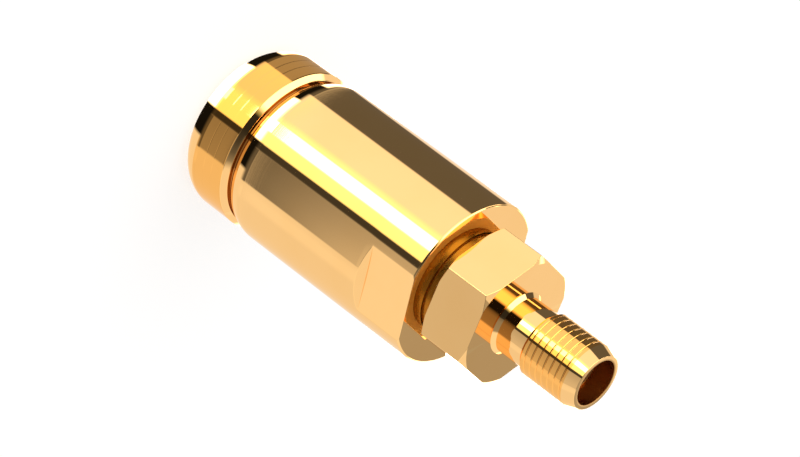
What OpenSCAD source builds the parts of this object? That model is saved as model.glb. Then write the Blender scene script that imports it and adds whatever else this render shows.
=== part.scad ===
// Gold-plated coaxial adapter: a plug with a turning coupling nut below, a small threaded jack on top.
// It stands on the nut's front rim. The axis is +Z, from the rim up to the jack's mouth. Millimetres.

/* [Coupling nut outside] */
// Length of the nut from its front rim to its rear face
nut_len = 28.7; // [27:0.05:32]
// Diameter of the long barrel
barrel_d = 16.5; // [15.6:0.1:18]
// Diameter of the flat front rim where the rounded nose starts
rim_d = 14.3; // [13:0.1:15]
// Length of the rounded nose
nose_len = 2.2; // [1.6:0.1:3.2]
// Diameter of the front collar
collar_d = 16.4; // [15.6:0.1:17]
// Straight length of the front collar
collar_len = 3.75; // [2.5:0.05:4.5]
// Width of the groove between the collar and the barrel
groove_w = 0.3; // [0.2:0.05:1.5]
// Depth of that groove below the collar
groove_depth = 0.7; // [0.4:0.05:1.4]
// Distance from the nose to the first fine turned line on the collar
line_setback = 0.95; // [0.5:0.05:1.5]
// Spacing of the fine turned lines
line_pitch = 1; // [0.6:0.1:1.2]
// Number of fine turned lines, where the collar is long enough for them
line_count = 2; // [0:1:4]
// Depth of the fine turned lines
line_depth = 0.03; // [0.02:0.01:0.12]
// Chamfer on the collar's edge at the groove
edge = 0.5; // [0.1:0.05:0.8]
// Length of the rounded front edge of the barrel
shoulder_len = 2.1; // [0.4:0.1:3]
// Fall of the rounded front edge of the barrel
shoulder_fall = 0.65; // [0.1:0.05:0.8]
// Chamfer on the edges of the nut's rear face
rear_edge = 0.15; // [0.05:0.05:0.4]

/* [Wrench flats on the nut] */
// Distance across the two flats
flat_af = 14.85; // [13:0.05:15.4]
// Length of the flats, measured from the nut's rear face
flat_len = 5.2; // [3:0.1:10]
// Angle between a flat and the sloped shoulder at its end, in degrees
flat_slope = 60; // [30:1:80]
// Turn of the flats about the axis, in degrees
flat_turn = -50; // [-180:1:180]

/* [Coupling thread] */
// Crest diameter of the thread inside the nut
thread_crest_d = 10.3; // [9.8:0.05:10.4]
// Diameter of the mouth in front of the thread
mouth_d = 11.6; // [11.2:0.1:12.4]
// Depth of the cone that leads from the mouth into the thread
mouth_lead = 0.8; // [0.4:0.1:1.2]
// Length of the thread
thread_len = 6.4; // [5:0.1:8]
// Depth of the relief behind the thread, past the nut's bore
relief_depth = 0.5; // [0.2:0.05:0.8]
// Reach of the relief behind the shell's front face
relief_back = 0.8; // [0.4:0.1:2]

/* [Shell] */
// Diameter of the shell on which the nut turns
shell_d = 10.4; // [10.2:0.05:11.2]
// Running clearance between the nut and the shell, on the radius
run_gap = 0.05; // [0.02:0.01:0.08]
// Assembly clearance between pieces that are pressed or screwed together, on the radius
press_gap = 0.02; // [0.01:0.005:0.04]
// Distance from the end of the coupling thread back to the shell's front face
seat_setback = 1.6; // [1.3:0.1:2.4]
// Open width between the nut's rear face and the hexagon
rear_gap = 1.15; // [0.4:0.05:2]

/* [Snap ring] */
// Distance from the shell's front face back to the ring
ring_setback = 5.45; // [4.8:0.05:7]
// Thickness of the ring along the axis
ring_t = 1; // [0.6:0.1:1.4]
// Width of the ring on the radius
ring_w = 1; // [0.7:0.05:1.1]
// How far the ring stands out of the shell
ring_proud = 0.55; // [0.3:0.05:0.7]
// Clearance around the ring in the nut's groove
ring_gap = 0.15; // [0.08:0.01:0.25]
// Angle of the opening in the ring, in degrees
ring_split = 24; // [10:1:60]

/* [Gasket] */
// Thickness of the gasket
gasket_t = 1.1; // [0.6:0.1:1.2]
// Width of the gasket on the radius
gasket_w = 0.98; // [0.6:0.02:1.1]

/* [Outer contact of the plug] */
// Outer diameter of the contact sleeve
sleeve_d = 8; // [7.7:0.05:8.2]
// Wall of the contact sleeve
sleeve_wall = 0.65; // [0.4:0.05:0.9]
// Distance of the sleeve's front end behind the rim
sleeve_setback = 1.6; // [0.8:0.1:3]
// Length of the sleeve inside the shell
sleeve_seat = 4.2; // [3:0.1:4.6]
// Number of spring slots
slot_count = 6; // [4:1:8]
// Width of a spring slot
slot_w = 0.4; // [0.2:0.05:0.6]
// Length of a spring slot
slot_len = 4.8; // [3:0.1:5.6]

/* [Pin of the plug] */
// Diameter of the pin's tip
tip_d = 1.34; // [1.2:0.02:1.5]
// Distance of the tip behind the rim
tip_setback = 2.2; // [1.4:0.1:4]
// Diameter of the blunt point
point_d = 0.66; // [0.4:0.02:0.9]
// Length of the tapered point
tip_taper = 0.9; // [0.5:0.1:1.4]
// Diameter of the pin inside the insulator
pin_d = 2; // [1.7:0.05:2.2]
// Diameter of the pin's rear stub
stub_d = 0.8; // [0.6:0.02:0.9]
// Length of the pin's rear stub
stub_len = 3; // [2:0.1:4]

/* [Insulators] */
// Length of the plug insulator that stands in front of the shell
nose_insulator_len = 1.2; // [0.6:0.1:2.4]
// Height of the step by which the contact sleeve holds the plug insulator
insulator_step = 0.35; // [0.2:0.05:0.5]
// Diameter of the jack insulator
jack_insulator_d = 4.1; // [3.9:0.02:4.3]
// Diameter of the flange that keeps the jack insulator from moving forward
flange_d = 5; // [4.6:0.1:6]
// Thickness of that flange
flange_t = 1.2; // [0.8:0.1:2]

/* [Hexagon and jack] */
// Distance across the hexagon's flats
hex_af = 11.8; // [11.4:0.1:13]
// Length of the hexagon
hex_len = 5.35; // [4:0.05:7]
// Turn of the hexagon's first corner about the axis, in degrees
hex_turn = -93; // [-180:1:180]
// Diameter where the hexagon's chamfers meet its end faces
hex_face_d = 12.3; // [11:0.1:13.2]
// Angle of the hexagon's chamfers, in degrees
hex_chamfer = 30; // [8:1:40]
// Diameter of the spigot that screws into the shell
spigot_d = 8.4; // [7.9:0.05:8.8]
// Length of the spigot
spigot_len = 9.25; // [6:0.25:11]
// Diameter of the neck behind the jack's thread
neck_d = 5.7; // [5.4:0.05:6]
// Length of the neck
neck_len = 3.25; // [2:0.05:4]
// Outer diameter of the jack's thread
jack_thread_d = 6.35; // [6.2:0.05:6.5]
// Length of the jack's thread
jack_thread_len = 4.95; // [3.6:0.05:6]
// Diameter of the jack's end face
jack_end_d = 5.5; // [5.3:0.05:5.8]
// Length of the cone between the thread and the end face
jack_end_len = 1.2; // [0.6:0.05:1.5]
// Diameter of the jack's mouth
jack_mouth_d = 4.6; // [4.5:0.02:4.8]
// Depth of the mouth down to the insulator
jack_mouth_len = 1.95; // [1.7:0.05:2.2]

/* [Socket of the jack] */
// Outer diameter of the socket
socket_d = 1.27; // [1.2:0.01:1.32]
// Diameter of the socket's hole
socket_bore_d = 0.94; // [0.9:0.01:0.98]
// Depth of the socket's hole
socket_depth = 3; // [2.4:0.1:4]
// Width of the cross slots in the socket
socket_slot_w = 0.18; // [0.1:0.02:0.24]
// Length of the cross slots in the socket
socket_slot_len = 2.4; // [1.6:0.1:3]

/* [Hidden] */
$fn = 96;
// Extra length of a cutting tool past the face it cuts
past = 1;
// Corner points along a rounded edge
arc_steps = 8;

gold = [0.86, 0.66, 0.33];
ivory = [0.93, 0.92, 0.88];
amber_brown = [0.25, 0.13, 0.07];
red_rubber = [0.62, 0.18, 0.12];

// Heights along the axis
collar_end_z = nose_len + collar_len;
barrel_z = collar_end_z + groove_w;
thread_end_z = mouth_lead + thread_len;
shell_z = thread_end_z + seat_setback;
relief_end_z = shell_z + relief_back;
ring_z = shell_z + ring_setback;
sleeve_end_z = shell_z + sleeve_seat;
insulator_z = shell_z - nose_insulator_len;
hex_z = nut_len + rear_gap;
spigot_z = hex_z - spigot_len;
hex_end_z = hex_z + hex_len;
neck_end_z = hex_end_z + neck_len;
jack_thread_z = neck_end_z + (jack_thread_d - neck_d) / 2;
jack_cone_z = jack_thread_z + jack_thread_len;
jack_end_z = jack_cone_z + jack_end_len;
jack_seat_z = jack_end_z - jack_mouth_len;

// Radii that pieces share
shell_r = shell_d / 2;
nut_bore_r = shell_r + run_gap;
ring_outer_r = shell_r + ring_proud;
ring_inner_r = ring_outer_r - ring_w;
sleeve_r = sleeve_d / 2;
sleeve_bore_r = sleeve_r - sleeve_wall;
gasket_bore_r = sleeve_r + press_gap;
plug_insulator_r = sleeve_bore_r + insulator_step;

// A rounded front edge: points of an arc that falls towards the front from a cylinder of radius r at height z
function arc_radius(reach, fall) = (pow(reach, 2) + pow(fall, 2)) / (2 * fall);
function arc_point(r, z, arc_r, a) = [r - arc_r * (1 - cos(a)), z - arc_r * sin(a)];
function front_arc(r, z, reach, fall) =
    let (arc_r = arc_radius(reach, fall), sweep = asin(reach / arc_r))
    [for (i = [arc_steps : -1 : 0]) arc_point(r, z, arc_r, sweep * i / arc_steps)];

// One fine turned line in the collar, as three corner points
function turned_line(z) = [
    [collar_d / 2, z - line_depth],
    [collar_d / 2 - line_depth, z],
    [collar_d / 2, z + line_depth],
];
line_room = collar_len - edge - line_setback - 2 * line_depth;
lines_cut = line_room < 0 ? 0 : min(line_count, 1 + floor(line_room / line_pitch));
line_first_z = nose_len + line_setback;

// A turned piece: corner points of its half section, as [radius, height]
module turned(points) {
    rotate_extrude() polygon(points);
}

module coupling_nut() {
    nose = front_arc(collar_d / 2, nose_len, nose_len, (collar_d - rim_d) / 2);
    lines = [for (i = [0 : 1 : lines_cut - 1]) each turned_line(line_first_z + i * line_pitch)];
    groove_r = collar_d / 2 - max(groove_depth, 1.1 * edge);
    groove = [
        [collar_d / 2, collar_end_z - edge],
        [collar_d / 2 - edge, collar_end_z],
        [groove_r, collar_end_z],
        [groove_r, barrel_z],
    ];
    shoulder = front_arc(barrel_d / 2, barrel_z + shoulder_len, shoulder_len, shoulder_fall);
    rear_and_inside = [
        [barrel_d / 2, nut_len - rear_edge],
        [barrel_d / 2 - rear_edge, nut_len],
        [nut_bore_r + rear_edge, nut_len],
        [nut_bore_r, nut_len - rear_edge],
        [nut_bore_r, ring_z + ring_t + ring_gap],
        [ring_outer_r + ring_gap, ring_z + ring_t + ring_gap],
        [ring_outer_r + ring_gap, ring_z - ring_gap],
        [nut_bore_r, ring_z - ring_gap],
        [nut_bore_r, relief_end_z],
        [nut_bore_r + relief_depth, relief_end_z],
        [nut_bore_r + relief_depth, thread_end_z],
        [thread_crest_d / 2, thread_end_z],
        [thread_crest_d / 2, mouth_lead],
        [mouth_d / 2, 0],
    ];
    // What is cut away beside a flat, seen along the flat
    flat_z = nut_len - flat_len;
    beside_flat = [
        [flat_af / 2, flat_z],
        [barrel_d, flat_z - (barrel_d - flat_af / 2) / tan(flat_slope)],
        [barrel_d, nut_len + past],
        [flat_af / 2, nut_len + past],
    ];
    color(gold) difference() {
        turned(concat(nose, lines, groove, shoulder, rear_and_inside));
        for (side = [0, 180])
            rotate(flat_turn + side)
                translate([0, barrel_d / 2, 0])
                    rotate([90, 0, 0])
                        linear_extrude(barrel_d) polygon(beside_flat);
    }
}

module snap_ring() {
    reach = 2 * ring_outer_r;
    opening = [
        [0, 0],
        [reach, -reach * tan(ring_split / 2)],
        [reach, reach * tan(ring_split / 2)],
    ];
    color(gold) translate([0, 0, ring_z]) difference() {
        cylinder(r = ring_outer_r, h = ring_t);
        translate([0, 0, -past]) cylinder(r = ring_inner_r, h = ring_t + 2 * past);
        translate([0, 0, -past]) linear_extrude(ring_t + 2 * past) polygon(opening);
    }
}

module face_gasket() {
    color(red_rubber) translate([0, 0, shell_z - gasket_t]) difference() {
        cylinder(r = gasket_bore_r + gasket_w, h = gasket_t);
        translate([0, 0, -past]) cylinder(r = gasket_bore_r, h = gasket_t + 2 * past);
    }
}

module plug_shell() {
    color(gold) turned([
        [sleeve_r + press_gap, shell_z],
        [shell_r, shell_z],
        [shell_r, ring_z - press_gap],
        [ring_inner_r - press_gap, ring_z - press_gap],
        [ring_inner_r - press_gap, ring_z + ring_t + press_gap],
        [shell_r, ring_z + ring_t + press_gap],
        [shell_r, hex_z],
        [spigot_d / 2 + press_gap, hex_z],
        [spigot_d / 2 + press_gap, spigot_z],
        [plug_insulator_r + press_gap, spigot_z],
        [plug_insulator_r + press_gap, sleeve_end_z],
        [sleeve_r + press_gap, sleeve_end_z],
    ]);
}

module outer_contact() {
    color(gold) difference() {
        turned([
            [sleeve_bore_r, sleeve_setback],
            [sleeve_r, sleeve_setback],
            [sleeve_r, sleeve_end_z],
            [sleeve_bore_r, sleeve_end_z],
        ]);
        for (i = [0 : slot_count - 1])
            rotate(i * 360 / slot_count)
                translate([0, -slot_w / 2, sleeve_setback - past])
                    cube([sleeve_d, slot_w, slot_len + past]);
    }
}

module plug_insulator() {
    color(ivory) turned([
        [pin_d / 2 + press_gap, insulator_z],
        [sleeve_bore_r - press_gap, insulator_z],
        [sleeve_bore_r - press_gap, sleeve_end_z],
        [plug_insulator_r, sleeve_end_z],
        [plug_insulator_r, spigot_z],
        [pin_d / 2 + press_gap, spigot_z],
    ]);
}

module plug_pin() {
    color(gold) turned([
        [0, tip_setback],
        [point_d / 2, tip_setback],
        [tip_d / 2, tip_setback + tip_taper],
        [tip_d / 2, insulator_z],
        [pin_d / 2, insulator_z],
        [pin_d / 2, spigot_z],
        [stub_d / 2, spigot_z],
        [stub_d / 2, spigot_z + stub_len],
        [0, spigot_z + stub_len],
    ]);
}

module hexagon() {
    hex_r = hex_af / sqrt(3);
    // The chamfers always take a little off the corners
    face_r = min(hex_face_d / 2, 0.98 * hex_r);
    drop = (hex_r - face_r) * tan(hex_chamfer);
    intersection() {
        translate([0, 0, hex_z]) rotate(hex_turn) cylinder(r = hex_r, h = hex_len, $fn = 6);
        turned([
            [0, hex_z],
            [face_r, hex_z],
            [hex_r, hex_z + drop],
            [hex_r, hex_end_z - drop],
            [face_r, hex_end_z],
            [0, hex_end_z],
        ]);
    }
}

module jack_body() {
    color(gold) difference() {
        union() {
            hexagon();
            turned([
                [0, spigot_z],
                [spigot_d / 2, spigot_z],
                [spigot_d / 2, hex_z],
                [neck_d / 2, hex_z],
                [neck_d / 2, neck_end_z],
                [jack_thread_d / 2, jack_thread_z],
                [jack_thread_d / 2, jack_cone_z],
                [jack_end_d / 2, jack_end_z],
                [0, jack_end_z],
            ]);
        }
        turned([
            [0, spigot_z - past],
            [flange_d / 2 + press_gap, spigot_z - past],
            [flange_d / 2 + press_gap, spigot_z + flange_t],
            [jack_insulator_d / 2 + press_gap, spigot_z + flange_t],
            [jack_insulator_d / 2 + press_gap, jack_seat_z],
            [jack_mouth_d / 2, jack_seat_z],
            [jack_mouth_d / 2, jack_end_z + past],
            [0, jack_end_z + past],
        ]);
    }
}

module jack_insulator() {
    color(amber_brown) turned([
        [socket_d / 2 + press_gap, spigot_z],
        [flange_d / 2, spigot_z],
        [flange_d / 2, spigot_z + flange_t],
        [jack_insulator_d / 2, spigot_z + flange_t],
        [jack_insulator_d / 2, jack_seat_z],
        [socket_d / 2 + press_gap, jack_seat_z],
    ]);
}

module jack_contact() {
    color(gold) difference() {
        turned([
            [stub_d / 2 + press_gap, spigot_z],
            [socket_d / 2, spigot_z],
            [socket_d / 2, jack_seat_z],
            [socket_bore_d / 2, jack_seat_z],
            [socket_bore_d / 2, jack_seat_z - socket_depth],
            [0, jack_seat_z - socket_depth],
            [0, spigot_z + stub_len + press_gap],
            [stub_d / 2 + press_gap, spigot_z + stub_len + press_gap],
        ]);
        for (turn = [0, 90])
            rotate(turn)
                translate([-socket_d, -socket_slot_w / 2, jack_seat_z - socket_slot_len])
                    cube([2 * socket_d, socket_slot_w, socket_slot_len + past]);
    }
}

coupling_nut();
snap_ring();
face_gasket();
plug_shell();
outer_contact();
plug_insulator();
plug_pin();
jack_body();
jack_insulator();
jack_contact();
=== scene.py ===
"""Looks of the gold-plated coaxial adapter.

Each piece is turned about +Z in millimetres and stands where its solid in the frame stands. The nut turns on
the shell; everything else belongs to the adapter's body.
"""
import math

import bmesh
import bpy
from mathutils import Matrix, Vector


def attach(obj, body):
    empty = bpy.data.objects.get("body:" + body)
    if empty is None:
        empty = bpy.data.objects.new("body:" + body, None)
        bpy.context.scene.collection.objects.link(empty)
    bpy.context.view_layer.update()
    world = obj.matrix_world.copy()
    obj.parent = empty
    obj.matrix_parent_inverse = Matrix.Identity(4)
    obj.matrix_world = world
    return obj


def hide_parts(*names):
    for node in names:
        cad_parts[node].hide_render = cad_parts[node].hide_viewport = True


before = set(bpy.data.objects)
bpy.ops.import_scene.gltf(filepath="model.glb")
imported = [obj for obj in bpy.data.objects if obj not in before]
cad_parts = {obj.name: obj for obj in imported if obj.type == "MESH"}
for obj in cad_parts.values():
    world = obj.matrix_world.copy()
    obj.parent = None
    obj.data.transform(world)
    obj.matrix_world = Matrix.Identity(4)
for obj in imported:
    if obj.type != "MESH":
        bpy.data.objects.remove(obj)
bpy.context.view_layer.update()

MM = 0.001
WELD = 1e-7
SHARP = math.radians(12)

# Coupling nut
NUT_LEN = 28.7
BARREL_R = 8.25
RIM_R = 7.15
NOSE_LEN = 2.2
ARC_STEPS = 28
COLLAR_R = 8.2
COLLAR_END = 5.95
COLLAR_EDGE = 0.5
GROOVE_END = 6.25
GROOVE_R = 7.5
LINE_HEIGHTS = (3.15, 4.15)
LINE_DEPTH = 0.003
LINE_HALF = 0.03
LINE_BORDER = 0.06
SHOULDER_LEN = 2.1
SHOULDER_FALL = 0.65
REAR_EDGE = 0.15
FLAT_R = 7.425
FLAT_START = 23.5
FLAT_SLOPE = math.radians(60)
FLAT_TURN = -50
FLAT_CLEAR = 0.3
NUT_COLUMNS = 240
NUT_SOFT = 0.06
NUT_BORE_R = 5.25
RELIEF_R = 5.75
RELIEF_END = 9.6
MOUTH_R = 5.8
NUT_THREAD = {
    "start": 0.8, "length": 6.4, "crest": 5.15, "depth": -0.41, "pitch": 25.4 / 28,
    "crest_share": 0.3, "root_share": 0.2,
}

# Shell and snap ring
SHELL_FACE = 8.8
SHELL_R = 5.2
SHELL_COLUMNS = 160
SHELL_SOFT = 0.05
RING_START = 14.25
RING_T = 1.0
RING_OUTER_R = 5.75
RING_INNER_R = 4.75
RING_GAP = 0.15
RING_SPLIT = 24
RING_STEPS = 120
RING_SOFT = 0.06
PRESS_GAP = 0.02

# Plug contacts, insulator and gasket
SLEEVE_R = 4.0
SLEEVE_BORE_R = 3.35
SLEEVE_START = 1.6
SLEEVE_END = 13.0
SLOT_COUNT = 6
SLOT_W = 0.4
SLOT_LEN = 4.8
SLEEVE_LEAD = 0.25
SLEEVE_SOFT = 0.04
TIP_START = 2.2
TIP_R = 0.67
POINT_R = 0.33
TIP_TAPER = 0.9
PIN_R = 1.0
STUB_R = 0.4
STUB_LEN = 3.0
PIN_COLUMNS = 96
PIN_SOFT = 0.05
INSULATOR_START = 7.6
PLUG_INSULATOR_R = 3.7
PLUG_INSULATOR_SOFT = 0.06
GASKET_T = 1.1
GASKET_R = 5.0
GASKET_CROWN_STEPS = 12
GASKET_COLUMNS = 144
GASKET_SOFT = 0.05

# Hexagon and jack
HEX_START = 29.85
HEX_END = 35.2
HEX_AF = 11.8
HEX_TURN = -93
HEX_FACE_R = 6.15
HEX_CHAMFER = math.radians(30)
SPIGOT_START = 20.6
SPIGOT_R = 4.2
NECK_R = 2.85
NECK_CONE = 0.35
NECK_END = 38.45
JACK_COLUMNS = 192
JACK_SOFT = 0.04
# This thread is cut shallow, because it looks almost smooth
JACK_THREAD = {
    "start": 38.775, "length": 4.95, "crest": 3.175, "depth": 0.08, "pitch": 25.4 / 36,
    "crest_share": 0.8, "root_share": 0.04,
}
JACK_END = 44.925
JACK_END_R = 2.75
JACK_MOUTH_R = 2.3
JACK_SEAT = 42.975
JACK_INSULATOR_R = 2.05
FLANGE_R = 2.5
FLANGE_T = 1.2
JACK_INSULATOR_SOFT = 0.04
SOCKET_R = 0.635
SOCKET_BORE_R = 0.47
SOCKET_DEPTH = 3.0
SOCKET_SLOT_W = 0.18
SOCKET_SLOT_LEN = 2.4
SOCKET_SLOT_COUNT = 4
SOCKET_LEAD = 0.06
SOCKET_FINGER_COLUMNS = 10
SOCKET_REAR_COLUMNS = 48
SOCKET_SOFT = 0.015

# Both threads
ROWS_PER_PITCH = 20
FADE_PITCHES = 0.5


# Mesh makers

def even_angles(count, turn=0.0):
    """Evenly spaced column angles of a turned piece."""
    return [math.radians(turn) + 2 * math.pi * i / count for i in range(count)]


def ring(angles, radius, height):
    """One ring of points; radius and height are one number each or a list with one number per angle."""
    radii = radius if isinstance(radius, list) else [radius] * len(angles)
    heights = height if isinstance(height, list) else [height] * len(angles)
    return [Vector((r * math.cos(a), r * math.sin(a), z)) * MM for a, r, z in zip(angles, radii, heights)]


def new_piece(name, form):
    """A linked object from a bmesh, which is freed."""
    mesh = bpy.data.meshes.new(name)
    form.to_mesh(mesh)
    form.free()
    piece = bpy.data.objects.new(name, mesh)
    bpy.context.scene.collection.objects.link(piece)
    return piece


def skin(name, rings, closed=True):
    """A surface through rings of points. Where closed, the last ring joins the first."""
    form = bmesh.new()
    rows = [[form.verts.new(p) for p in points] for points in rings]
    pairs = list(zip(rows, rows[1:]))
    if closed:
        pairs.append((rows[-1], rows[0]))
    for low, high in pairs:
        for i in range(len(low)):
            j = (i + 1) % len(low)
            form.faces.new((low[i], low[j], high[j], high[i]))
    bmesh.ops.remove_doubles(form, verts=form.verts, dist=WELD)
    bmesh.ops.recalc_face_normals(form, faces=form.faces)
    return new_piece(name, form)


def turned(name, section, columns=128):
    """A closed turned piece from the corner points of its half section, as (radius, height)."""
    angles = even_angles(columns)
    return skin(name, [ring(angles, r, z) for r, z in section])


def plain(piece):
    """Turns a piece with its modifiers into a plain mesh."""
    bpy.context.view_layer.update()
    evaluated = piece.evaluated_get(bpy.context.evaluated_depsgraph_get())
    mesh = bpy.data.meshes.new_from_object(evaluated)
    piece.modifiers.clear()
    piece.data = mesh
    return piece


def soften(piece, width, steps=3, leave=()):
    """Rounds the outer edges of a piece, apart from those between two heights in leave, and keeps its inner
    edges sharp."""
    form = bmesh.new()
    form.from_mesh(piece.data)
    weight = form.edges.layers.float.new("bevel_weight_edge")
    for edge in form.edges:
        if len(edge.link_faces) != 2 or edge.calc_face_angle() < SHARP:
            continue
        height = (edge.verts[0].co.z + edge.verts[1].co.z) / 2 / MM
        if any(low < height < high for low, high in leave):
            continue
        if edge.is_convex:
            edge[weight] = 1.0
        else:
            edge.smooth = False
    form.to_mesh(piece.data)
    form.free()
    bevel = piece.modifiers.new("soft_edges", "BEVEL")
    bevel.limit_method = "WEIGHT"
    bevel.width = width * MM
    bevel.segments = steps
    bevel.use_clamp_overlap = False
    return plain(piece)


def weld(name, *pieces):
    """Joins pieces whose end rings meet into one closed piece."""
    form = bmesh.new()
    for piece in pieces:
        form.from_mesh(piece.data)
        bpy.data.objects.remove(piece)
    bmesh.ops.remove_doubles(form, verts=form.verts, dist=WELD)
    bmesh.ops.recalc_face_normals(form, faces=form.faces)
    return new_piece(name, form)


def shade_smooth(piece):
    """Smooth shading in which the large faces keep their own direction. The modifier needs faces of a usable
    size, so it works on the piece in millimetres."""
    for face in piece.data.polygons:
        face.use_smooth = True
    piece.data.transform(Matrix.Scale(1 / MM, 4))
    normals = piece.modifiers.new("even_shading", "WEIGHTED_NORMAL")
    normals.mode = "FACE_AREA"
    normals.keep_sharp = True
    plain(piece)
    piece.data.transform(Matrix.Scale(MM, 4))


# Geometry Nodes

class Tree:
    """A node tree with short calls to add nodes and links."""

    def __init__(self, tree):
        self.tree = tree

    def socket(self, name, kind, default=None, side="INPUT"):
        made = self.tree.interface.new_socket(name=name, in_out=side, socket_type=kind)
        if default is not None:
            made.default_value = default

    def node(self, kind, inputs=(), **settings):
        made = self.tree.nodes.new(kind)
        for key, value in settings.items():
            setattr(made, key, value)
        for key, value in dict(inputs).items():
            if isinstance(value, bpy.types.NodeSocket):
                self.tree.links.new(value, made.inputs[key])
            else:
                made.inputs[key].default_value = value
        return made

    def math(self, operation, *values, clamp=False):
        made = self.node("ShaderNodeMath", enumerate(values), operation=operation, use_clamp=clamp)
        return made.outputs[0]

    def blend(self, share, first, second):
        return self.node("ShaderNodeMix", {0: share, 6: first, 7: second}, data_type="RGBA").outputs[2]


def new_group(name, kind):
    """An empty node group."""
    return Tree(bpy.data.node_groups.new(name, kind))


def end_tree(t, geometry, material):
    """The last nodes of a Geometry Nodes tree: its material and its output."""
    dressed = t.node("GeometryNodeSetMaterial", {"Geometry": geometry, "Material": material})
    t.node("NodeGroupOutput", {"Geometry": dressed.outputs[0]})
    return t.tree


def thread_tree():
    """A screw thread round +Z: rows that follow the helix, cut between crests and faded out at both ends."""
    t = new_group("screw_thread", "GeometryNodeTree")
    for name in ("Crest Radius", "Depth", "Pitch", "Length", "Start"):
        t.socket(name, "NodeSocketFloat")
    for name in ("Crest Share", "Root Share", "Fade", "Turn"):
        t.socket(name, "NodeSocketFloat")
    for name in ("Columns", "Rows per Pitch"):
        t.socket(name, "NodeSocketInt")
    t.socket("Material", "NodeSocketMaterial")
    t.socket("Geometry", "NodeSocketGeometry", side="OUTPUT")
    given = t.node("NodeGroupInput").outputs
    pitches = t.math("ADD", t.math("CEIL", t.math("DIVIDE", given["Length"], given["Pitch"])), 1.0)
    rows = t.math("ADD", t.math("MULTIPLY", pitches, given["Rows per Pitch"]), 1.0)
    span = t.math("MULTIPLY", pitches, given["Pitch"])
    grid = t.node("GeometryNodeMeshGrid", {
        "Size X": 1.0,
        "Size Y": span,
        "Vertices X": t.math("ADD", given["Columns"], 1.0),
        "Vertices Y": rows,
    })
    place = t.node("ShaderNodeSeparateXYZ", {0: t.node("GeometryNodeInputPosition").outputs[0]}).outputs
    around = t.math("ADD", place[0], 0.5)
    along = t.math("SUBTRACT", t.math("ADD", place[1], t.math("MULTIPLY", span, 0.5)), given["Pitch"])
    climbed = t.math("ADD", along, t.math("MULTIPLY", around, given["Pitch"]))
    height = t.math("MINIMUM", t.math("MAXIMUM", climbed, 0.0), given["Length"])
    # 0 in the middle of the crest, 0.5 in the middle of the root
    phase = t.math("PINGPONG", t.math("DIVIDE", along, given["Pitch"]), 0.5)
    level = t.math("ADD", given["Crest Share"], given["Root Share"])
    flank = t.math("MULTIPLY", t.math("SUBTRACT", 1.0, level), 0.5)
    past_crest = t.math("SUBTRACT", phase, t.math("MULTIPLY", given["Crest Share"], 0.5))
    cut = t.math("DIVIDE", past_crest, flank, clamp=True)
    from_end = t.math("MINIMUM", height, t.math("SUBTRACT", given["Length"], height))
    fade = t.math("DIVIDE", from_end, given["Fade"], clamp=True)
    depth = t.math("MULTIPLY", t.math("MULTIPLY", cut, fade), given["Depth"])
    radius = t.math("SUBTRACT", given["Crest Radius"], depth)
    angle = t.math("ADD", t.math("MULTIPLY", around, 2 * math.pi), given["Turn"])
    point = t.node("ShaderNodeCombineXYZ", {
        0: t.math("MULTIPLY", radius, t.math("COSINE", angle)),
        1: t.math("MULTIPLY", radius, t.math("SINE", angle)),
        2: t.math("ADD", given["Start"], height),
    })
    moved = t.node("GeometryNodeSetPosition", {
        "Geometry": grid.outputs["Mesh"],
        "Position": point.outputs[0],
    })
    closed = t.node("GeometryNodeMergeByDistance", {"Geometry": moved.outputs[0], "Distance": WELD})
    whole = t.node("GeometryNodeRealizeInstances", {"Geometry": closed.outputs[0]})
    return end_tree(t, whole.outputs[0], given["Material"])


def copies_tree():
    """Copies of one sector turned evenly round +Z and joined at their sides."""
    t = new_group("copies_round_axis", "GeometryNodeTree")
    t.socket("Sector", "NodeSocketGeometry")
    t.socket("Count", "NodeSocketInt")
    t.socket("Material", "NodeSocketMaterial")
    t.socket("Geometry", "NodeSocketGeometry", side="OUTPUT")
    given = t.node("NodeGroupInput").outputs
    points = t.node("GeometryNodePoints", {"Count": given["Count"]})
    step = t.math("DIVIDE", 2 * math.pi, given["Count"])
    turn = t.math("MULTIPLY", t.node("GeometryNodeInputIndex").outputs[0], step)
    spin = t.node("ShaderNodeCombineXYZ", {2: turn})
    copies = t.node("GeometryNodeInstanceOnPoints", {
        "Points": points.outputs[0],
        "Instance": given["Sector"],
        "Rotation": spin.outputs[0],
    })
    whole = t.node("GeometryNodeRealizeInstances", {"Geometry": copies.outputs[0]})
    closed = t.node("GeometryNodeMergeByDistance", {"Geometry": whole.outputs[0], "Distance": WELD})
    return end_tree(t, closed.outputs[0], given["Material"])


def grown(piece, tree, values):
    """Runs a Geometry Nodes tree on a piece with named values and keeps the result as a plain mesh."""
    nodes = piece.modifiers.new(tree.name, "NODES")
    nodes.node_group = tree
    for item in tree.interface.items_tree:
        if item.item_type == "SOCKET" and item.in_out == "INPUT" and item.name in values:
            nodes[item.identifier] = values[item.name]
    return plain(piece)


def screw_thread(name, size, columns, turn, material):
    """A band of screw thread, from the sizes of one of the thread tables above."""
    piece = new_piece(name, bmesh.new())
    return grown(piece, THREAD_TREE, {
        "Crest Radius": size["crest"] * MM,
        "Depth": size["depth"] * MM,
        "Pitch": size["pitch"] * MM,
        "Length": size["length"] * MM,
        "Start": size["start"] * MM,
        "Crest Share": size["crest_share"],
        "Root Share": size["root_share"],
        "Fade": FADE_PITCHES * size["pitch"] * MM,
        "Turn": math.radians(turn),
        "Columns": columns,
        "Rows per Pitch": ROWS_PER_PITCH,
        "Material": material,
    })


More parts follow.
